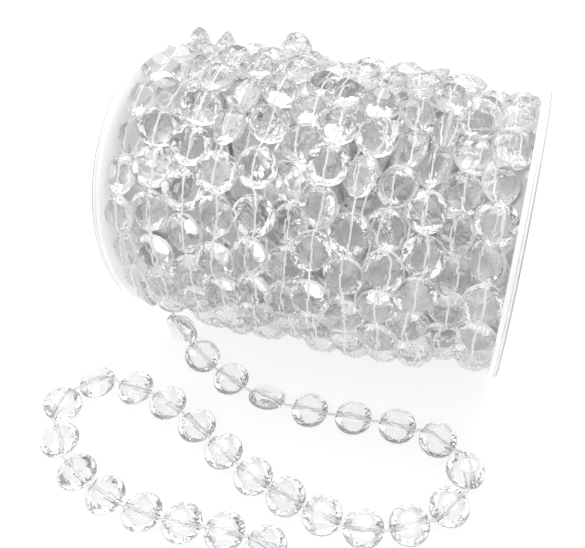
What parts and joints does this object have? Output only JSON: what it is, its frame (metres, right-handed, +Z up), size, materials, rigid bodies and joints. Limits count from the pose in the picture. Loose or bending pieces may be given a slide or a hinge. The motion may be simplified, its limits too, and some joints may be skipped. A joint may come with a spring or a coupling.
{
  "type": "reel of bead garland",
  "caption": "Flanged reel lying on its side, wound with clear faceted bead garland, its loose beaded tail laid in an S before it.",
  "frame": {"origin": "on the surface that the reel lies on, under the middle of the reel", "axes": "+X along the reel's axis, +Z up, the loose tail lies towards -Y"},
  "size_m": [0.1248, 0.1385, 0.0794],
  "materials": {
    "clear_acrylic": "clear, polished facets",
    "frosted_plastic": "milky white, satin",
    "nylon_string": "clear to white, smooth"
  },
  "bodies": {
    "root": {"flange_left": "frosted_plastic", "flange_right": "frosted_plastic", "wound_garland": "clear_acrylic", "tail_string": "nylon_string", "tail_bead_01": "clear_acrylic", "tail_bead_02": "clear_acrylic", "tail_bead_03": "clear_acrylic", "tail_bead_04": "clear_acrylic", "tail_bead_05": "clear_acrylic", "tail_bead_06": "clear_acrylic", "tail_bead_07": "clear_acrylic", "tail_bead_08": "clear_acrylic", "tail_bead_09": "clear_acrylic", "tail_bead_10": "clear_acrylic", "tail_bead_11": "clear_acrylic", "tail_bead_12": "clear_acrylic", "tail_bead_13": "clear_acrylic", "tail_bead_14": "clear_acrylic", "tail_bead_15": "clear_acrylic", "tail_bead_16": "clear_acrylic", "tail_bead_17": "clear_acrylic", "tail_bead_18": "clear_acrylic", "tail_bead_19": "clear_acrylic", "tail_bead_20": "clear_acrylic", "tail_bead_21": "clear_acrylic", "tail_bead_22": "clear_acrylic", "tail_bead_23": "clear_acrylic", "tail_bead_24": "clear_acrylic", "tail_bead_25": "clear_acrylic", "tail_bead_26": "clear_acrylic", "tail_bead_27": "clear_acrylic", "tail_bead_28": "clear_acrylic", "tail_bead_29": "clear_acrylic", "end_knot": "nylon_string"}
  },
  "joints": []
}
